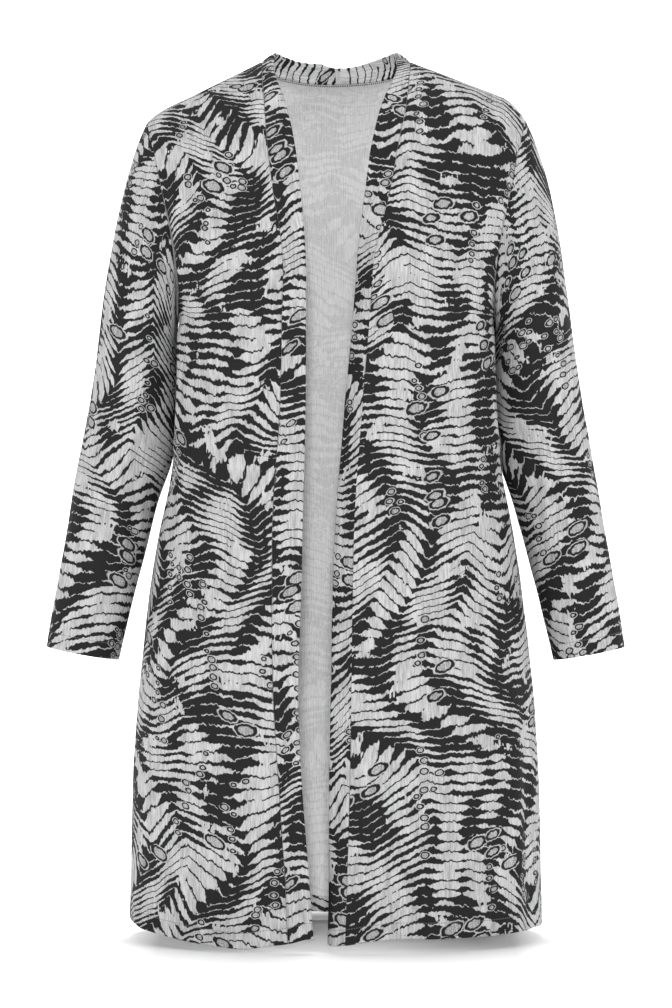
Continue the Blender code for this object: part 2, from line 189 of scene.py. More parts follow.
# How far the parting along the armhole leans outwards
ARMHOLE_LEAN = 0.8

# Soft vertical folds of the skirt: side, front or back, angle from the middle, width, depth, top.
# A fold deepens towards the hem by a power of the share of the way down
FOLDS = (
    (1, -1, 1.18, 0.11, 0.006, -0.640),
    (-1, -1, 0.98, 0.13, 0.004, -0.700),
    (1, 1, 0.90, 0.14, 0.006, -0.620),
    (-1, 1, 0.80, 0.15, 0.006, -0.640),
    (-1, 1, 1.22, 0.11, 0.004, -0.700),
)
FOLD_POWER = 1.3

# Hem line: degrees round the body from the front, left positive, and height of the hem above HEM_Z
HEM_LINE = np.array([
    (-180.0, 0.0000),
    (-132.0, 0.0000),
    (-110.0, 0.0060),
    (-97.0, 0.0125),
    (-84.0, 0.0135),
    (-77.0, 0.0110),
    (-73.0, 0.0068),
    (-67.0, 0.0015),
    (-60.0, 0.0000),
    (-50.0, -0.0020),
    (-39.0, -0.0052),
    (-29.4, 0.0010),
    (-20.0, 0.0032),
    (-10.4, 0.0052),
    (-5.0, -0.0025),
    (5.0, 0.0000),
    (11.0, 0.0022),
    (20.0, 0.0043),
    (36.0, 0.0080),
    (45.0, 0.0073),
    (56.0, 0.0042),
    (68.0, 0.0060),
    (77.0, 0.0070),
    (85.0, 0.0095),
    (96.0, 0.0098),
    (112.0, 0.0045),
    (132.0, 0.0000),
    (180.0, 0.0000),
])
HEM_LINE_FADE = 0.080

# Small waves of the hem: height, phase gained for each metre of x and of y, first phase
HEM_WAVES = (
    (0.0013, 34.0, 9.0, 2.2),
    (0.0010, 73.0, -21.0, 0.6),
)
CORNER_WAVE = (0.0012, 190.0, 60.0, 0.0)
CORNER_X = 0.215
CORNER_SPREAD = 0.012
HEM_WAVE_FADE = 0.045

# Creases: start, end, width and height of each soft line, a trough below zero
BODY_CREASES = (
    ((-0.172, -0.080, -0.300), (-0.120, -0.120, -0.390), 0.010, -0.0016),
    ((0.172, -0.080, -0.300), (0.118, -0.120, -0.400), 0.010, -0.0016),
    ((-0.168, 0.080, -0.300), (-0.105, 0.112, -0.400), 0.012, -0.0018),
    ((0.168, 0.080, -0.300), (0.108, 0.112, -0.385), 0.012, -0.0018),
    ((-0.1735, -0.030, -0.310), (-0.1745, -0.030, -0.430), 0.013, 0.0040),
    ((0.1735, -0.030, -0.310), (0.1745, -0.030, -0.430), 0.013, 0.0040),
    ((0.215, -0.055, -0.720), (0.213, -0.060, -0.850), 0.012, -0.0022),
    ((0.200, -0.075, -0.730), (0.205, -0.078, -0.900), 0.014, 0.0020),
    ((-0.190, -0.062, -0.560), (-0.165, -0.108, -0.640), 0.012, -0.0012),
    ((0.060, -0.120, -0.640), (0.085, -0.128, -0.960), 0.016, 0.0018),
    ((-0.120, -0.115, -0.680), (-0.130, -0.118, -0.960), 0.015, 0.0016),
    ((0.020, 0.128, -0.600), (0.030, 0.132, -0.960), 0.020, 0.0022),
    ((-0.060, 0.120, -0.560), (-0.075, 0.128, -0.960), 0.018, -0.0018),
)
ARM_CREASES = (
    ((0.205, -0.055, -0.330), (0.262, -0.030, -0.370), 0.009, -0.0024),
    ((0.200, -0.052, -0.430), (0.262, -0.045, -0.455), 0.008, -0.0021),
    ((0.212, -0.046, -0.478), (0.280, -0.038, -0.470), 0.008, -0.0025),
    ((0.222, -0.040, -0.520), (0.290, -0.030, -0.545), 0.009, -0.0019),
    ((0.238, -0.045, -0.600), (0.300, -0.040, -0.585), 0.008, -0.0018),
    ((0.205, 0.050, -0.400), (0.270, 0.040, -0.440), 0.009, -0.0024),
    ((0.210, 0.045, -0.470), (0.285, 0.036, -0.500), 0.009, -0.0027),
    ((0.230, 0.034, -0.560), (0.300, 0.020, -0.570), 0.009, -0.0019),
    ((0.186, -0.020, -0.460), (0.200, -0.030, -0.500), 0.008, -0.0018),
    ((0.2290, -0.045, -0.440), (0.2330, -0.045, -0.535), 0.006, 0.0024),
    ((0.2185, -0.040, -0.440), (0.2225, -0.040, -0.545), 0.008, -0.0032),
)

# Grid steps in metres, the close ones at a rounded border, and the lengths that set how many there
# are. CUFF_FROM is the share of a sleeve from which the rows of its cuff take over
STEP = 0.0045
BORDER_STEPS = (0.0, 0.0005, 0.0014, 0.0030)
HEM_ROW_STEP = 0.002
HEM_ROWS = np.arange(0.004, 0.024, HEM_ROW_STEP)
UPPER_ROWS = 60
NECK_COLUMNS = 41
FRONT_WIDE = 0.19
SHOULDER_LONG = 0.14
BAND_WIDE = 0.029
SLEEVE_LONG = 0.36
CAP_LONG = 0.22
CUFF_FROM = 0.93

# Where on the print each piece is cut: metres across and up
FRONT_PRINT = {-1: (0.5, 0.31), 1: (1.3, 0.31)}
BAND_PRINT = {-1: (1.4, -0.07), 1: (2.0, 0.33)}
SLEEVE_PRINT = {-1: (2.1, 0.27), 1: (3.1, 0.67)}

# Linear tones of the print, light and dark: outside, and on the inner face of the bands, where they are
# painted lighter to lift the shade on the collar's inner face
PRINT_TONES = (0.32, 0.009)
BAND_INSIDE_PAINTED_LIGHT_TONES = (0.47, 0.012)

# Rings: cell across and up in millimetres, climb, and least radius and its spread as shares of a cell
SMALL_RINGS = {"wide": 16.5, "high": 12.0, "tilt": 0.12, "low": 0.15, "grow": 0.13, "seed": 83.0}
BIG_RINGS = {"wide": 36.0, "high": 20.0, "tilt": 0.28, "low": 0.21, "grow": 0.10, "seed": 87.0}

# Millimetres of cloth: one stroke, one zigzag, a column and a row of the knit's steps, one rib inside,
# a stitch of the hem and one of the neck seam, that seam's distance from the top, the shade above it
STRIPE = 10.8
KINK = 128.0
WALE = 3.3
COURSE = 6.0
RIB = 2.0
STITCH_LONG = 3.0
NECK_STITCH_LONG = 2.6
NECK_STITCH = 1.5
NECK_SHADE = 16.0

# Camera: its distance and height, and pixels of the photograph for a metre at the shoulder plane
CAMERA_AWAY = 3.3
CAMERA_Z = -0.4966
PIXELS_PER_METRE = 890.0
FRAME_HEIGHT = 1008
SENSOR = 36.0

# Paper sweep: half width, start, where, how sharply and in how many steps it turns up, and its top
FLOOR_Z = -0.982
SWEEP_X = 14.0
SWEEP_FRONT = -12.0
SWEEP_Y = 9.0
SWEEP_ROUND = 2.0
SWEEP_STEPS = 12
SWEEP_TOP = 9.0

# Paper: its tone, its glow, which grows aside of the hem and with height, and the shade at the back hem
PAPER = 0.90
PAPER_GLOW = 0.55
GLOW_X = 0.195
GLOW_FADE_X = 0.055
GLOW_FADE_Z = 0.5
SHADE = 0.22
SHADE_Y = 0.150
SHADE_HALF_Y = 0.060
SHADE_HALF_X_SQUARED = 0.053

# Suns: azimuth from the camera's side towards +X, elevation, softness, power; and the sky's strength
SUNS = {
    "left_light": (-62.0, 15.0, 25.0, 1.45),
    "right_light": (62.0, 15.0, 25.0, 1.55),
    "front_light": (0.0, 9.0, 5.0, 1.65),
    "top_light": (0.0, 95.0, 13.0, 2.4),
}
SKY = 0.24

# How far a seed moves a pattern up, as a share of how far it moves it across
SEED_UP = 0.37

NAMES = {-1: "right", 1: "left"}


def smooth(at, stations, values):
    """A smooth curve through (stations, values): cubic pieces whose slopes are central differences."""
    slopes = np.gradient(values, stations)
    piece = np.clip(np.searchsorted(stations, at) - 1, 0, len(stations) - 2)
    step = stations[piece + 1] - stations[piece]
    t = (at - stations[piece]) / step
    start = values[piece] * (1 + 2 * t) * (1 - t) ** 2 + slopes[piece] * step * t * (1 - t) ** 2
    end = values[piece + 1] * t * t * (3 - 2 * t) - slopes[piece + 1] * step * t * t * (1 - t)
    return start + end


def unit(vectors):
    """The same vectors, one long."""
    return vectors / np.maximum(np.linalg.norm(vectors, axis=-1, keepdims=True), 1e-12)


def shoulder_z(x):
    """Height of the shoulder line: a slope that rounds over at the tip and flattens across the neck."""
    out = np.abs(x)
    slope = np.where(x < 0, RIGHT_SLOPE, LEFT_SLOPE)
    drop = np.where(x < 0, RIGHT_ROUND, LEFT_ROUND) * np.maximum(out - SHOULDER_ROUND_X, 0.0) ** 2
    across_neck = (RIGHT_SLOPE + LEFT_SLOPE) / 2 * (NECK_X ** 2 - out ** 2) / (2 * NECK_X)
    return NECK_Z + np.where(out < NECK_X, across_neck, slope * (NECK_X - out)) - drop


def half_width(z):
    """Half width of the body section at a height."""
    return smooth(z, SECTIONS[:, 0], SECTIONS[:, 1])


def section_angle(x, z):
    """Angle on the super-ellipse section: 0 at the middle, a right angle at the side."""
    return np.arcsin(np.clip(np.abs(x) / half_width(z), 0.0, 1.0) ** (SQUARENESS / 2.0))


def body_depth(x, z, face):
    """How far the body stands from the shoulder plane: super-ellipse section times shoulder arch."""
    depth = smooth(z, SECTIONS[:, 0], SECTIONS[:, 2 if face < 0 else 3])
    across = np.clip(np.abs(x) / half_width(z), 0.0, 1.0)
    section = depth * (1.0 - across ** SQUARENESS) ** (1.0 / SQUARENESS)
    rise = np.clip((shoulder_z(x) - z) / ARCH_DROP, 0.0, 1.0)
    return section * np.sqrt(1.0 - (1.0 - rise) ** 2)


def body_point(x, z, face):
    """Points of the body form at (x, z), on its front (-1) or back (+1), with the skirt's folds."""
    y = face * body_depth(x, z, face)
    angle = section_angle(x, z)
    pull = np.zeros_like(y)
    for side, fold_face, middle, spread, deep, top in FOLDS:
        if fold_face == face:
            grow = np.clip((top - z) / (top - HEM_Z), 0.0, 1.0) ** FOLD_POWER
            pull = pull + deep * grow * np.exp(-((angle - middle) / spread) ** 2) * (x * side > 0)
    return np.stack([x - np.sign(x) * pull * np.sin(angle), y - face * pull * np.cos(angle), z], axis=-1)


def body_normal(x, z, face):
    """Outward normal of the body form, from small steps in x and z."""
    step = 0.0006
    in_x = np.sign(x) * np.minimum(np.abs(x), half_width(z) - 2 * step)
    low_z = np.minimum(z, shoulder_z(x) - 2 * step)
    rise_x = body_depth(in_x + step, low_z, face) - body_depth(in_x - step, low_z, face)
    rise_z = body_depth(in_x, low_z + step, face) - body_depth(in_x, low_z - step, face)
    outward = np.full_like(x, float(face))
    return unit(np.stack([-rise_x / (2 * step), outward, -rise_z / (2 * step)], axis=-1))


def ridge_normal(x):
    """Normal of the shoulder line, which both panels share there."""
    step = 0.0005
    slope = (shoulder_z(x + step) - shoulder_z(x - step)) / (2 * step)
    return unit(np.stack([-slope, np.zeros_like(x), np.ones_like(x)], axis=-1))


def grid_normals(points):
    """Normals of a grid of points, from the differences along its rows and columns."""
    return unit(np.cross(np.gradient(points, axis=1), np.gradient(points, axis=0)))


def shares(length, ends=(True, True)):
    """Shares 0..1 along a border-to-border length: even steps, with close ones at rounded ends."""
    even = np.linspace(0.0, 1.0, max(4, int(round(length / STEP))) + 1)
    close = np.array(BORDER_STEPS) / length
    inner = even[(even > close[-1] * 1.5) & (even < 1.0 - close[-1] * 1.5)]
    return np.concatenate([close if ends[0] else [0.0], inner, 1.0 - close[::-1] if ends[1] else [1.0]])


# Rows that both fronts, the back and the bands share: below the underarm by height, above by share
BELOW = shares(UNDERARM_Z - HEM_Z, (True, False)) * (UNDERARM_Z - HEM_Z)
BELOW = np.concatenate([BELOW[: len(BORDER_STEPS)], HEM_ROWS, BELOW[BELOW > HEM_ROWS[-1] + HEM_ROW_STEP]])
UPPER = 0.5 - 0.5 * np.cos(np.pi * np.linspace(0.0, 1.0, UPPER_ROWS + 1))
LOWER_ROWS = len(BELOW) - 1
TURN = np.concatenate([np.zeros(LOWER_ROWS + 1), UPPER[1:]])[:, None]

# Columns across a front and across a shoulder of the back
FRONT_SHARE = shares(FRONT_WIDE)
SHOULDER_SHARE = shares(SHOULDER_LONG, (False, True))


def row_heights(top):
    """Height of each grid point: level rows below the underarm, then rows closing on the top line."""
    below = (HEM_Z + BELOW)[:, None] + np.zeros_like(top)[None, :]
    above = UNDERARM_Z + (top[None, :] - UNDERARM_Z) * UPPER[1:, None]
    return np.vstack([below, above])


def edge_x(heights):
    """Outer limit of the body panels: the side seam below the underarm, the armhole above."""
    armhole = smooth(np.maximum(heights, UNDERARM_Z), ARMHOLE[:, 0], ARMHOLE[:, 1])
    return np.where(heights < UNDERARM_Z, half_width(np.minimum(heights, UNDERARM_Z)), armhole)


def front_grid(side):
    """A front panel from band seam to side seam, hem to shoulder; side is -1 right, +1 left."""
    band = RIGHT_BAND if side < 0 else LEFT_BAND
    z = row_heights(shoulder_z(side * (NECK_X + (TIP_X - NECK_X) * FRONT_SHARE)))
    inner = np.abs(smooth(z[:, :1], band[:, 0], band[:, 1]))
    outer = edge_x(z[:, -1:])
    start = section_angle(inner, z[:, :1])
    angle = start + (section_angle(outer, z[:, -1:]) - start) * FRONT_SHARE
    round_x = half_width(z) * np.sin(angle) ** (2.0 / SQUARENESS)
    x = side * (round_x * (1 - TURN) + (inner + (outer - inner) * FRONT_SHARE) * TURN)
    x[:, 0] = side * inner[:, 0]
    x[:, -1] = side * outer[:, 0]
    normals = body_normal(x, z, -1)
    normals[: LOWER_ROWS + 1, -1] = (side, 0.0, 0.0)
    normals[-1] = ridge_normal(x[-1])
    return body_point(x, z, -1), normals


def back_grid():
    """The back panel, side to side, with its top line over both shoulders and the back neck."""
    shoulder_x = NECK_X + (TIP_X - NECK_X) * SHOULDER_SHARE
    across = np.linspace(-1.0, 1.0, NECK_COLUMNS + 2)[1:-1]
    neck_x = NECK_X * np.sin(across * np.pi / 2)
    neck_z = NECK_Z + (BACK_NECK_Z - NECK_Z) * np.sqrt(1.0 - (neck_x / NECK_X) ** 2)
    top = np.concatenate([shoulder_z(-shoulder_x)[::-1], neck_z, shoulder_z(shoulder_x)])
    z = row_heights(top)
    start = section_angle(NECK_X, z[:, :1])
    outer, angles, lines = {}, {}, {}
    for side, column in ((-1, 0), (1, -1)):
        outer[side] = edge_x(z[:, column, None])
        end = section_angle(outer[side], z[:, column, None])
        angles[side] = start + (end - start) * SHOULDER_SHARE
        lines[side] = NECK_X + (outer[side] - NECK_X) * SHOULDER_SHARE
    angle = np.hstack([-angles[-1][:, ::-1], start * across, angles[1]])
    round_x = np.sign(angle) * half_width(z) * np.abs(np.sin(angle)) ** (2.0 / SQUARENESS)
    flat_neck = np.broadcast_to(neck_x, (len(z), len(neck_x)))
    line_x = np.hstack([-lines[-1][:, ::-1], flat_neck, lines[1]])
    x = round_x * (1 - TURN) + line_x * TURN
    x[:, 0] = -outer[-1][:, 0]
    x[:, -1] = outer[1][:, 0]
    normals = body_normal(x, z, 1)
    normals[: LOWER_ROWS + 1, 0] = (-1.0, 0.0, 0.0)
    normals[: LOWER_ROWS + 1, -1] = (1.0, 0.0, 0.0)
    count = len(SHOULDER_SHARE)
    normals[-1, :count] = ridge_normal(x[-1, :count])
    normals[-1, -count:] = ridge_normal(x[-1, -count:])
    return body_point(x, z, 1), normals


def band_grid(side, front, back):
    """A band half, hem to centre back: its seam is the panels' own points, its free edge the table's."""
    band, collar = (RIGHT_BAND, RIGHT_COLLAR) if side < 0 else (LEFT_BAND, LEFT_COLLAR)
    middle = back[0].shape[1] // 2
    first = len(SHOULDER_SHARE) if side < 0 else middle
    last = middle + 1 if side < 0 else back[0].shape[1] - len(SHOULDER_SHARE)
    order = 1 if side < 0 else -1
    neck_points = back[0][-1, first:last][::order]
    seam = np.vstack([front[0][:, 0], neck_points])
    normals = np.vstack([front[1][:, 0], back[1][-1, first:last][::order]])
    z = front[0][:, 0, 2]
    edge = body_point(smooth(z, band[:, 0], band[:, 2]), z + smooth(z, band[:, 0], band[:, 3]), -1)
    edge[:, 1] += smooth(z, band[:, 0], band[:, 4])
    outward = np.abs(neck_points[:, 0]) / NECK_X
    lean = smooth(outward, collar[:, 0], collar[:, 1])
    lift = smooth(outward, collar[:, 0], collar[:, 2])
    inward = unit(neck_points * (-1.0, -1.0, 0.0))
    back_edge = neck_points + inward * lean[:, None] + np.stack([0 * lift, 0 * lift, lift], axis=-1)
    edge = np.vstack([edge, back_edge])
    across = shares(BAND_WIDE)[None, :, None]
    points = seam[:, None] * (1 - across) + edge[:, None] * across
    points += grid_normals(points) * -side * BAND_CROWN * np.sin(np.pi * across)
    own = grid_normals(points) * -side
    own[:, 0] = normals
    own[-1] = unit(own[-1] * (0.0, 1.0, 1.0))
    return points, own


def sleeve_grid(side, front, back):
    """A sleeve, armhole to cuff and round from its underarm seam, by the front, back to the seam."""
    front_loop = front[0][LOWER_ROWS:, -1]
    back_loop = back[0][LOWER_ROWS:, -1 if side > 0 else 0]
    loop = np.vstack([front_loop, back_loop[-2::-1]])
    lengths = np.linalg.norm(np.diff(front_loop, axis=0), axis=1)
    share = np.concatenate([[0.0], np.cumsum(lengths)]) / lengths.sum()
    turn = np.pi * np.concatenate([share, 2.0 - share[-2::-1]])
    rows = np.arange(len(SLEEVE), dtype=float)
    near_cuff = np.concatenate([HEM_ROWS[::-1], np.array(BORDER_STEPS)[::-1]])
    stations = shares(SLEEVE_LONG, (False, True)) * rows[-1]
    stations = stations[stations < rows[-1] * CUFF_FROM]
    stations = np.concatenate([stations, rows[-1] * (1 - near_cuff / SLEEVE_LONG)])
    columns = [smooth(stations, rows, column)[:, None] for column in SLEEVE.T]
    inner_x, inner_z, outer_x, outer_z, deep, middle = columns
    tube_x = (inner_x + outer_x) / 2 - (outer_x - inner_x) / 2 * np.cos(turn)
    tube_z = (inner_z + outer_z) / 2 - (outer_z - inner_z) / 2 * np.cos(turn)
    tube_y = middle - deep * np.sin(turn)
    tube = np.stack([side * tube_x, tube_y, tube_z], axis=-1)
    reach = np.linalg.norm(tube[0] - loop, axis=1)[:, None]
    high = ((1 - np.cos(turn)) / 2)[:, None]
    tilt = CAP_TURN[0] + (CAP_TURN[1] - CAP_TURN[0]) * high
    leave = np.hstack([side * np.cos(tilt), 0 * tilt, -np.sin(tilt)]) * reach * CAP_PULL
    arrive = unit(tube[1] - tube[0]) * reach
    t = shares(CAP_LONG, (True, False))[:-1, None, None]
    cap = (loop * (1 + 2 * t) * (1 - t) ** 2 + leave * t * (1 - t) ** 2
           + tube[0] * t * t * (3 - 2 * t) - arrive * t * t * (1 - t))
    rings = np.vstack([cap, tube])
    around = np.concatenate([rings[:, -2:-1], rings, rings[:, 1:2]], axis=1)
    return rings, grid_normals(around)[:, 1:-1] * -side


def part_armhole(side, front, back, sleeve):
    """Part the panels from the sleeve along the armhole, each wall kept on its own side of the seam."""
    rings, ring_normals = sleeve
    loop = rings[0].copy()
    column = -1 if side > 0 else 0
    inner_back = back[0][LOWER_ROWS:, -2 if side > 0 else 1]
    before = np.vstack([front[0][LOWER_ROWS:, -2], inner_back[-2::-1]])
    along = np.gradient(loop, axis=0)
    along[0] = along[-1] = (0.0, 1.0, 0.0)
    along = unit(along)
    across = unit(loop - before) + unit(rings[1] - loop) + np.array([ARMHOLE_LEAN * side, 0.0, 0.0])
    across = unit(across - along * (across * along).sum(axis=1, keepdims=True))
    rings[0] = loop + across * SEAM_GAP / 2
    lean = (ring_normals[0] * across).sum(axis=1, keepdims=True)
    ring_normals[0] = unit(ring_normals[0] - across * np.maximum(lean, 0.0))
    count = len(UPPER)
    for points, normals, at, ring in (
            (front[0], front[1], -1, np.arange(count)),
            (back[0], back[1], column, np.arange(len(loop) - 1, len(loop) - 1 - count, -1))):
        edge = normals[LOWER_ROWS:, at]
        lean = (edge * across[ring]).sum(axis=1, keepdims=True)
        normals[LOWER_ROWS:, at] = unit(edge - across[ring] * np.minimum(lean, 0.0))
        points[LOWER_ROWS:, at] -= across[ring] * SEAM_GAP / 2


def travelled(points, axis):
    """Distance along each grid line from its start, in metres."""
    steps = np.linalg.norm(np.diff(points, axis=axis), axis=-1)
    start = np.zeros_like(np.take(steps, [0], axis=axis))
    return np.concatenate([start, np.cumsum(steps, axis=axis)], axis=axis)


def rounding(distance, radius, ply):
    """How far a wall's face sinks near a border: a quarter ellipse."""
    near = np.clip(1.0 - distance / radius, 0.0, 1.0)
    return RIM_SINK * ply * (1.0 - np.sqrt(np.maximum(1.0 - near ** 2, 0.0)))


def ripple(points):
    """Slow unevenness of worn knit: crossed waves of unlike lengths, about a millimetre high."""
    x, y, z = points[..., 0], points[..., 1], points[..., 2]
    wide = np.sin(41 * x + 9 * z + 1.3) * np.sin(17 * z + 23 * y + 0.4)
    fine = np.sin(83 * x - 31 * z + 2.1) * np.sin(47 * z + 61 * y + 1.7)
    return 0.0008 * wide + 0.0003 * fine


def sag(points):
    """Uneven height of the hem of the body: the hem line with small waves, both fading upwards."""
    x, y, z = points[..., 0], points[..., 1], points[..., 2]

    def wave(height, by_x, by_y, phase):
        return height * np.sin(by_x * x + by_y * y + phase)

    at_corner = np.exp(-((np.abs(x) - CORNER_X) / CORNER_SPREAD) ** 2)
    waves = sum(wave(*row) for row in HEM_WAVES) + at_corner * wave(*CORNER_WAVE)
    line = smooth(np.degrees(np.arctan2(x, -y)), HEM_LINE[:, 0], HEM_LINE[:, 1])
    return waves * np.exp((HEM_Z - z) / HEM_WAVE_FADE) + line * np.exp((HEM_Z - z) / HEM_LINE_FADE)


def creased(points, normals, creases):
    """Move points along their normals: each crease is a soft line with a Gaussian cross-section."""
    lift = ripple(points)
    points = points + sag(points)[..., None] * (0.0, 0.0, 1.0)
    for start, end, width, height in creases:
        start, end = np.array(start), np.array(end)
        line = end - start
        share = np.clip(((points - start) @ line) / (line @ line), 0.0, 1.0)
        gap = np.linalg.norm(points - (start + share[..., None] * line), axis=-1)
        lift = lift + height * np.exp(-(gap / width) ** 2)
    return points + normals * lift[..., None]


def wall(name, points, normals, ply, flip, hem, creases, u_start, v_start):
    """A closed wall of cloth from its outer grid.

    The inner face lies one ply in along the normals, both faces round off towards the borders, and
    the hem's second ply thickens the inside. UV is the distance along the grid's rows, from u_start,
    and the distance from the hem, from v_start. The attributes from_hem and from_top are the
    distances to the turned-up edge and to the last row. Flip turns all faces over.
    """
    points = creased(points, normals, creases)
    across, along = travelled(points, 1), travelled(points, 0)
    distances = {
        "first": across,
        "last": across[:, -1:] - across,
        "bottom": along,
        "top": along[-1:] - along,
    }
    sink = sum(rounding(distance, SEAM_ROUND, ply) for distance in distances.values())
    from_hem = distances[hem]
    stitch = STITCH_SINK * np.exp(-((from_hem - HEM_STITCH) / STITCH_SPREAD) ** 2)
    turned = HEM_PLY / (1.0 + np.exp(np.clip((from_hem - HEM_DEPTH) / HEM_PLY_EDGE, -30, 30)))
    outer = points - normals * (sink + stitch)[..., None]
    inner = points - normals * (ply + turned - sink - stitch)[..., None]
    rows, columns = across.shape
    index = np.arange(rows * columns).reshape(rows, columns)
    below = rows * columns
    faces = np.stack([index[:-1, :-1], index[:-1, 1:], index[1:, 1:], index[1:, :-1]], axis=-1)
    faces = faces.reshape(-1, 4)
    border = np.concatenate([index[0], index[1:, -1], index[-1, -2::-1], index[-2::-1, 0]])
    rim = np.stack([border[1:], border[:-1], border[:-1] + below, border[1:] + below], axis=-1)
    quads = np.vstack([faces, faces[:, ::-1] + below, rim])
    if flip:
        quads = quads[:, ::-1]
    mesh = bpy.data.meshes.new(name)
    mesh.from_pydata(np.vstack([outer.reshape(-1, 3), inner.reshape(-1, 3)]), [], quads)
    cloth = np.stack([u_start + across, v_start + from_hem], axis=-1).reshape(-1, 2)
    cloth = np.vstack([cloth, cloth])
    corners = np.empty(len(mesh.loops), dtype=np.int32)
    mesh.loops.foreach_get("vertex_index", corners)
    mesh.uv_layers.new(name="cloth").data.foreach_set("uv", cloth[corners].ravel())
    for measure, distance in (("from_hem", from_hem), ("from_top", distances["top"])):
        values = mesh.attributes.new(measure, "FLOAT", "POINT").data
        values.foreach_set("value", np.tile(distance.ravel(), 2))
    inside = np.zeros(len(quads), dtype=np.int32)
    inside[len(faces): 2 * len(faces)] = 1
    mesh.polygons.foreach_set("material_index", inside)
    mesh.shade_smooth()
    mesh.update()
    piece = bpy.data.objects.new(name, mesh)
    bpy.context.scene.collection.objects.link(piece)
    return piece


class Wire:
    """A shader value. Arithmetic on it adds Math nodes to its recipe."""

    def __init__(self, recipe, socket):
        self.recipe = recipe
        self.socket = socket

    def math(self, operation, *others):
        return self.recipe.add("ShaderNodeMath", {"operation": operation}, dict(enumerate((self, *others))))

    def __add__(self, other):
        return self.math("ADD", other)

    def __mul__(self, other):
        return self.math("MULTIPLY", other)

    def __sub__(self, other):
        return self.math("SUBTRACT", other)

    def __truediv__(self, other):
        return self.math("DIVIDE", other)

    def __rsub__(self, other):
        return self * -1.0 + other

    def least(self, other):
        return self.math("MINIMUM", other)

    def most(self, other):
        return self.math("MAXIMUM", other)

    def bound(self, low=0.0, high=1.0):
        return self.most(low).least(high)

    def above(self, level, softness):
        """0 below the level, 1 above it, with a straight edge as wide as the softness."""
        return ((self - level) / softness + 0.5).bound()


class Recipe:
    """One material's nodes. add() makes any node from its type, settings and inputs."""

    def __init__(self, name):
        self.material = bpy.data.materials.new(name)
        self.material.use_nodes = True
        self.tree = self.material.node_tree
        self.shader = self.tree.nodes["Principled BSDF"]

    def add(self, kind, settings=None, inputs=None, output=0):
        node = self.tree.nodes.new(kind)
        for name, value in (settings or {}).items():
            setattr(node, name, value)
        for key, value in (inputs or {}).items():
            self.feed(node.inputs[key], value)
        return Wire(self, node.outputs[output])

    def feed(self, socket, value):
        if isinstance(value, Wire):
            self.tree.links.new(value.socket, socket)
        else:
            socket.default_value = value

    def cloth(self):
        """The cloth coordinates, in millimetres."""
        uv = self.add("ShaderNodeUVMap", {"uv_map": "cloth"})
        parts = self.add("ShaderNodeSeparateXYZ", None, {0: uv})
        up = Wire(self, parts.socket.node.outputs[1])
        return parts * 1000.0, up * 1000.0

    def place(self, u, v, across, along, seed):
        """A point on a pattern whose features are about across by along millimetres."""
        return self.add("ShaderNodeCombineXYZ", None, {0: u / across + seed, 1: v / along + seed * SEED_UP})

    def noise(self, u, v, across, along, seed, detail=1.0, rough=0.5):
        """Soft noise round 0.5 with features of the given size in millimetres."""
        return self.add("ShaderNodeTexNoise", {"noise_dimensions": "2D"},
                        {"Vector": self.place(u, v, across, along, seed), "Scale": 1.0, "Detail": detail,
                         "Roughness": rough})

    def chance(self, u, v, seed):
        """A random number for each whole (u, v)."""
        return self.add("ShaderNodeTexWhiteNoise", {"noise_dimensions": "2D"},
                        {"Vector": self.place(u, v, 1.0, 1.0, seed)})

    def mix(self, share, first, second):
        """A colour part way from the first to the second."""
        return self.add("ShaderNodeMix", {"data_type": "RGBA"}, {0: share, 6: first, 7: second}, 2)


def grey(level):
    """A neutral colour of one linear level."""
    return (level, level, level * 1.005, 1.0)


def rings(knit, u, v, bumpy, mask, wide, high, tilt, low, grow, seed):
    """Small ovals with a dark outline and a speckled core: (share cleared round them, how dark they are).

    One may stand in each cell of a jittered grid, where the mask at its centre is 1. Its outline is
    drawn at a random radius between low and low + grow of a cell, and it climbs by tilt.
    """
    cells = {"Vector": knit.place(u, v - u * tilt, wide, high, seed), "Scale": 1.0, "Randomness": 0.7}
    near = knit.add("ShaderNodeTexVoronoi", {"voronoi_dimensions": "2D"}, cells)
    node = near.socket.node
    chance = knit.add("ShaderNodeSeparateColor", None, {0: Wire(knit, node.outputs["Color"])})
    centre = knit.add("ShaderNodeSeparateXYZ", None, {0: Wire(knit, node.outputs["Position"])})
    centre_u = (centre - seed) * wide
    centre_v = (Wire(knit, centre.socket.node.outputs[1]) - seed * SEED_UP) * high + centre_u * tilt
    shown = mask(centre_u, centre_v)
    radius = chance * grow + low
    away = near + bumpy * 0.10
    line = (0.060 - (away - radius).math("ABSOLUTE")).above(0.0, 0.03)
    halo = (radius + 0.11 - away).above(0.0, 0.04)
    core = (radius - away).above(0.0, 0.04)
    speckle = knit.noise(u, v, 1.3, 1.3, 7.0, 1.0).above(0.55, 0.12)
    return halo * shown, line.most(core * (speckle * 0.42 + 0.12)) * shown


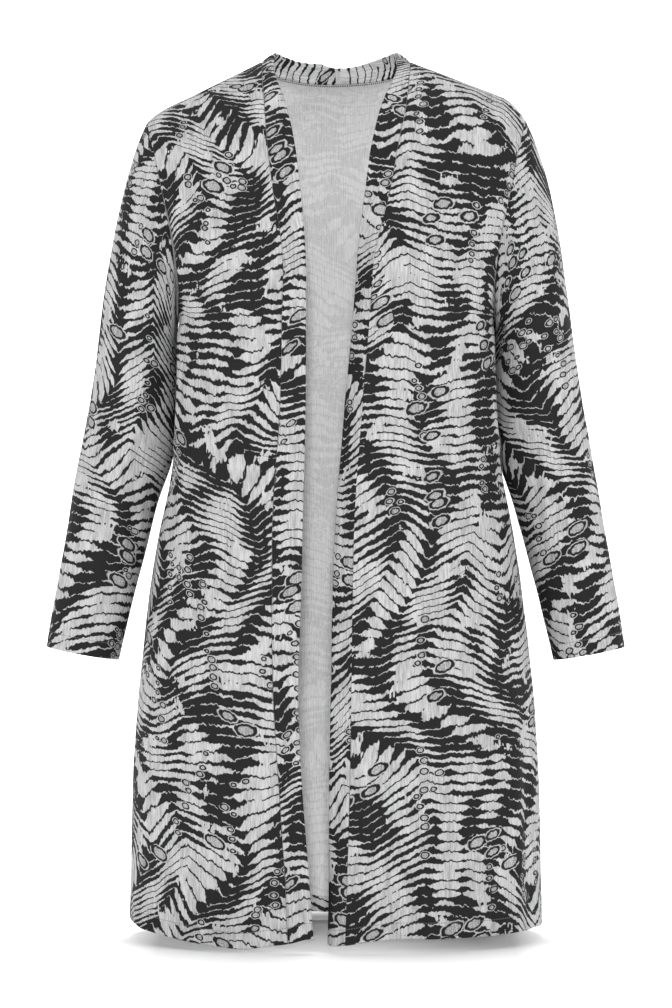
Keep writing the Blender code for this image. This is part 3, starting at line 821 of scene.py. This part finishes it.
def stripes(knit, u, v):
    """The animal stripe: 0 light, 1 dark.

    Strokes repeat up the cloth every STRIPE millimetres on a height that zigzags across it, with
    kinks every half KINK that lean and drift. Strokes are thick along some lines of kinks, where thin
    broken light lines part them, and taper to thin lines or nothing between. Rings stand in chains up
    the cloth. All edges step with the knit's columns.
    """
    wale = (u / WALE).math("FLOOR")
    course = (v / COURSE).math("FLOOR")
    step = knit.chance(wale, course, 3.0) - 0.5
    bumpy = knit.noise(u, v, 3.4, 8.0, 11.0, 0.0) - 0.5
    slow_drift = (knit.noise(u, v, 400.0, 150.0, 5.0, 0.0) - 0.5) * 200.0
    drift = slow_drift + (knit.noise(u, v, 80.0, 70.0, 8.0, 0.0) - 0.5) * 30.0
    lane = (u + drift) / KINK
    zigzag = (lane.math("FRACT") - 0.5).math("ABSOLUTE") * 2.0
    steep = knit.noise(u, v, 230.0, 200.0, 21.0, 0.0) * 84.0 - 20.0
    wide = (knit.noise(u, v, 190.0, 400.0, 27.0, 0.0) - 0.5) * 40.0
    small = (knit.noise(u, v, 19.0, 60.0, 41.0, 0.0) - 0.5) * 5.0
    height = v + zigzag * steep + wide + small + step * 1.2 + bumpy * 2.5
    phase = height / STRIPE
    number = phase.math("FLOOR")
    wave = (phase - number - 0.5).math("ABSOLUTE") * 2.0
    kinked = (zigzag * 2.0 - 1.0).math("ABSOLUTE")
    patchy = knit.noise(u + height * 0.45, v, 48.0, 60.0, 57.0, 1.0, 0.4) - 0.5
    own = knit.noise(u, number * 37.0, 24.0, 1.0, 63.0, 1.0) - 0.5
    weight = knit.noise(u, v, 110.0, 80.0, 66.0, 0.0) * 3.0 - 0.70
    thick = kinked * kinked * weight * 0.9 + patchy * 1.9 + own * 0.75 + 0.29
    bare = (knit.noise(u, v, 33.0, 27.0, 71.0, 0.0) + bumpy * 0.2 - kinked * 0.12).above(0.71, 0.01)
    broken = knit.noise(u, number * 29.0, 7.0, 1.0, 68.0, 0.0).above(0.53, 0.05)
    fused = broken * (thick - 0.74).above(0.0, 0.1)
    thick = thick.bound(0.16, 0.86) + fused * 0.3 - bare * 0.8
    dark = (1.0 - wave).above(1.0 - thick, 0.10)

    def in_chain(at_u, at_v):
        return knit.noise(at_u, at_v, 30.0, 110.0, 95.0, 0.0).above(0.71, 0.00001)

    def in_clearing(at_u, at_v):
        return knit.noise(at_u, at_v, 60.0, 80.0, 99.0, 0.0).above(0.74, 0.00001)

    ground, small_rings = rings(knit, u, v, bumpy, in_chain, **SMALL_RINGS)
    clearing, big_rings = rings(knit, u, v, bumpy, in_clearing, **BIG_RINGS)
    dark = dark * (1.0 - ground)
    dark = dark.most(small_rings) * (1.0 - clearing)
    return dark.most(big_rings)


def print_knit(name, light, dark):
    """The right side: stripe colours with vertical slubs and a painted crinkle shade, a crinkle in the
    bump, stitched hems.
    """
    knit = Recipe(name)
    u, v = knit.cloth()
    pattern = stripes(knit, u, v)
    slub = knit.noise(u, v, 2.1, 17.0, 101.0, 2.0, 0.6)
    grain = knit.noise(u, v, 0.8, 1.1, 105.0, 1.0)
    # painted shade: slow darker and lighter patches in the light ground, standing in for the shading of the
    # crinkle
    shade = knit.noise(u, v, 13.0, 50.0, 103.0, 1.0)
    pale = ((slub - 0.5) * 2.0 + (grain - 0.5) * 0.9 + (shade - 0.5) * 0.9 + 0.57).bound()
    from_hem = knit.add("ShaderNodeAttribute", {"attribute_name": "from_hem"}, None, 2) * 1000.0
    thread = (0.55 - (from_hem - HEM_STITCH * 1000.0).math("ABSOLUTE")).above(0.0, 0.3)
    dashes = ((u / STITCH_LONG).math("FRACT") - 0.5).math("ABSOLUTE").above(0.16, 0.1)
    light_now = knit.mix(pale, grey(light * 0.70), grey(light * 1.26))
    dark_now = knit.mix(grain, grey(dark * 0.6), grey(dark * 1.5))
    colour = knit.mix(pattern, light_now, dark_now)
    colour = knit.mix(thread * dashes * 0.55, colour, grey(0.10))
    knit.feed(knit.shader.inputs["Base Color"], colour)
    knit.feed(knit.shader.inputs["Roughness"], 0.86 - slub * 0.06)
    relief = slub * 0.5 + knit.noise(u, v, 5.5, 26.0, 111.0, 1.0) * 0.9 + grain * 0.25 - thread * 0.3
    bump = knit.add("ShaderNodeBump", None, {"Strength": 0.55, "Distance": 0.0011, "Height": relief})
    knit.feed(knit.shader.inputs["Normal"], bump)
    knit.shader.inputs["Specular IOR Level"].default_value = 0.15
    return knit.material


def wrong_side(name):
    """The inside: a pale mesh painted lighter to lift the shade in the hollow, with painted shade near each
    piece's last row, the stripes faintly through it, print on the turned-up hem.
    """
    knit = Recipe(name)
    u, v = knit.cloth()
    pattern = stripes(knit, u, v)
    mesh_lines = knit.noise(u, v, 1.3, 0.9, 121.0, 2.0, 0.7)
    slub = knit.noise(u, v, 2.0, 12.0, 125.0, 2.0, 0.6)
    ribs = ((u / RIB).math("FRACT") - 0.5).math("ABSOLUTE") * 2.0
    level = (mesh_lines - 0.5) * 0.9 + (slub - 0.5) * 0.7 + (ribs - 0.5) * 0.30 + 0.64 - pattern * 0.20
    # painted light: the inside's pale tone is partly the mesh's own and partly raised to lift the shade
    # inside the hollow garment
    plain = knit.mix(level.bound(), grey(0.50), grey(0.94))
    from_top = knit.add("ShaderNodeAttribute", {"attribute_name": "from_top"}, None, 2) * 1000.0
    thread = (1.0 - (from_top - NECK_STITCH).math("ABSOLUTE")).above(0.0, 0.4)
    dashes = ((u / NECK_STITCH_LONG).math("FRACT") - 0.5).math("ABSOLUTE").above(0.14, 0.12)
    # painted shade: darker within NECK_SHADE millimetres of a piece's last row, as under the collar
    plain = knit.mix((1.0 - from_top / NECK_SHADE).bound() * 0.45, plain, grey(0.36))
    plain = knit.mix(thread * dashes * 0.85, plain, grey(0.05))
    from_hem = knit.add("ShaderNodeAttribute", {"attribute_name": "from_hem"}, None, 2) * 1000.0
    turned = (HEM_DEPTH * 1000.0 - from_hem).above(0.0, 0.4)
    shown = knit.mix(pattern, grey(0.60), grey(0.02))
    knit.feed(knit.shader.inputs["Base Color"], knit.mix(turned, plain, shown))
    knit.feed(knit.shader.inputs["Roughness"], 0.9 - slub * 0.05)
    relief = mesh_lines + slub * 0.6
    bump = knit.add("ShaderNodeBump", None, {"Strength": 0.4, "Distance": 0.0007, "Height": relief})
    knit.feed(knit.shader.inputs["Normal"], bump)
    knit.shader.inputs["Specular IOR Level"].default_value = 0.25
    return knit.material


def mirrored(creases, side):
    """The same creases on one side of the body."""
    return tuple((np.array(start) * (side, 1, 1), np.array(end) * (side, 1, 1), width, height)
                 for start, end, width, height in creases)


def draw_back(points, border, gap=SEAM_GAP):
    """Move one border of a grid towards its next line of points, by half the gap."""
    if border == "first":
        points[:, 0] += unit(points[:, 1] - points[:, 0]) * gap / 2
    elif border == "last":
        points[:, -1] += unit(points[:, -2] - points[:, -1]) * gap / 2
    else:
        points[-1] += unit(points[-2] - points[-1]) * gap / 2


def dress(piece, node, materials):
    """Finish a piece: its two materials and its body, with the solid of its node hidden."""
    for material in materials:
        piece.data.materials.append(material)
    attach(piece, "root")
    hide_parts(node)


def across_from_middle(points):
    """For each row of a grid, minus the distance from its first point to its middle one."""
    return -travelled(points, 1)[:, points.shape[1] // 2][:, None]


def cut_grids():
    """The grids of the back, fronts, bands and sleeves, parted at their seams."""
    back = back_grid()
    fronts = {side: front_grid(side) for side in (-1, 1)}
    bands = {side: band_grid(side, fronts[side], back) for side in (-1, 1)}
    sleeves = {side: sleeve_grid(side, fronts[side], back) for side in (-1, 1)}
    for side in (-1, 1):
        part_armhole(side, fronts[side], back, sleeves[side])
        draw_back(fronts[side][0], "first")
        draw_back(fronts[side][0][: LOWER_ROWS + 1], "last")
        draw_back(fronts[side][0], "top")
        draw_back(bands[side][0], "first")
        draw_back(bands[side][0], "top", BAND_JOIN_GAP)
        draw_back(sleeves[side][0], "first")
        draw_back(sleeves[side][0], "last")
    draw_back(back[0], "top")
    draw_back(back[0][: LOWER_ROWS + 1], "first")
    draw_back(back[0][: LOWER_ROWS + 1], "last")
    return back, fronts, bands, sleeves


def make_cardigan():
    """All seven pieces with their materials."""
    back, fronts, bands, sleeves = cut_grids()
    outside = print_knit("print_knit", *PRINT_TONES)
    band_outside = print_knit("band_knit", *PRINT_TONES)
    # painted light: the bands' inner face has the same print in lighter tones, lifting the shade on the
    # collar's inner face
    band_inside_painted_light = print_knit("band_inside_painted_light", *BAND_INSIDE_PAINTED_LIGHT_TONES)
    inside = wrong_side("wrong_side")
    across = across_from_middle(back[0])
    piece = wall("back_panel", *back, CLOTH, True, "bottom", BODY_CREASES, across, 0.0)
    dress(piece, "back", (outside, inside))
    for side in (-1, 1):
        name = NAMES[side]
        across, up = FRONT_PRINT[side]
        across = np.abs(fronts[side][0][:, :1, 0]) + across
        piece = wall(name + "_front_panel", *fronts[side], CLOTH, side < 0, "bottom",
                     BODY_CREASES, across, up)
        dress(piece, name + "_front", (outside, inside))
        across, up = BAND_PRINT[side]
        piece = wall(name + "_band_strip", *bands[side], BAND_CLOTH, side > 0, "bottom", (), across, up)
        dress(piece, name + "_band", (band_outside, band_inside_painted_light))
        across, up = SLEEVE_PRINT[side]
        across = across_from_middle(sleeves[side][0]) + across
        creases = mirrored(ARM_CREASES, side)
        piece = wall(name + "_sleeve_tube", *sleeves[side], CLOTH, side > 0, "top", creases, across, up)
        dress(piece, name + "_sleeve", (outside, inside))


def floor_paper():
    """Paper with painted light: it glows beside and behind the garment, washing out cast shadows beside the
    hem, and a painted shadow darkens it at its back hem.
    """
    paper = Recipe("floor_paper")
    paper.feed(paper.shader.inputs["Roughness"], 1.0)
    paper.feed(paper.shader.inputs["Specular IOR Level"], 0.0)
    place = paper.add("ShaderNodeTexCoord", None, None, 3)
    parts = paper.add("ShaderNodeSeparateXYZ", None, {0: place})
    # painted shadow: the base colour darkens towards SHADE in a patch at the back hem
    deep = (Wire(paper, parts.socket.node.outputs[1]) - SHADE_Y) / SHADE_HALF_Y
    under = (1.0 - deep * deep).bound() * (1.0 - parts * parts / SHADE_HALF_X_SQUARED).bound()
    paper.feed(paper.shader.inputs["Base Color"], paper.mix(under, grey(PAPER), grey(SHADE)))
    # painted light: emission grows with height up the sweep and beside the hem, where it washes out the
    # garment's cast shadows
    rise = (Wire(paper, parts.socket.node.outputs[2]) - FLOOR_Z) / GLOW_FADE_Z
    aside = (parts.math("ABSOLUTE") - GLOW_X) / GLOW_FADE_X
    glow = rise.most(aside).bound()
    paper.feed(paper.shader.inputs["Emission Color"], paper.mix(glow, grey(0.0), grey(1.0)))
    paper.feed(paper.shader.inputs["Emission Strength"], PAPER_GLOW)
    return paper.material


def make_floor():
    """A pale sweep of paper: a floor that turns up into a wall far behind."""
    turn = np.linspace(0.0, math.pi / 2, SWEEP_STEPS + 1)
    depth = np.concatenate([[SWEEP_FRONT], SWEEP_Y + SWEEP_ROUND * np.sin(turn), [SWEEP_Y + SWEEP_ROUND]])
    height = np.concatenate([[0.0], SWEEP_ROUND * (1 - np.cos(turn)), [SWEEP_TOP]]) + FLOOR_Z
    across = np.repeat([[-SWEEP_X], [SWEEP_X]], len(depth), axis=1)
    points = np.stack([across, np.stack([depth, depth]), np.stack([height, height])], axis=-1)
    index = np.arange(2 * len(depth)).reshape(2, -1)
    faces = np.stack([index[0, :-1], index[1, :-1], index[1, 1:], index[0, 1:]], axis=-1)
    mesh = bpy.data.meshes.new("studio_floor")
    mesh.from_pydata(points.reshape(-1, 3), [], faces)
    mesh.shade_smooth()
    mesh.materials.append(floor_paper())
    floor = bpy.data.objects.new("studio_floor", mesh)
    bpy.context.scene.collection.objects.link(floor)


def sun(name, azimuth, elevation, softness, power):
    """A soft sun, with its angles in degrees."""
    data = bpy.data.lights.new(name, "SUN")
    data.angle = math.radians(softness)
    data.energy = power
    lamp = bpy.data.objects.new(name, data)
    bpy.context.scene.collection.objects.link(lamp)
    lamp.rotation_euler = (math.radians(90.0 - elevation), 0.0, math.radians(azimuth))


def make_lights():
    """A white sky and four soft suns, shown without a colour transform."""
    world = bpy.data.worlds.new("studio_white")
    bpy.context.scene.world = world
    world.use_nodes = True
    sky = world.node_tree.nodes["Background"]
    sky.inputs["Color"].default_value = (1.0, 1.0, 1.0, 1.0)
    sky.inputs["Strength"].default_value = SKY
    for name, settings in SUNS.items():
        sun(name, *settings)
    bpy.context.scene.view_settings.view_transform = "Standard"


def make_camera():
    """A level camera in front, at the height of the waist."""
    lens = bpy.data.cameras.new("camera")
    lens.sensor_width = SENSOR
    lens.lens = CAMERA_AWAY * PIXELS_PER_METRE / FRAME_HEIGHT * SENSOR
    camera = bpy.data.objects.new("camera", lens)
    camera.location = (0.0, -CAMERA_AWAY, CAMERA_Z)
    camera.rotation_euler = (math.pi / 2, 0.0, 0.0)
    bpy.context.scene.collection.objects.link(camera)
    bpy.context.scene.camera = camera


make_floor()
make_lights()
make_camera()
make_cardigan()
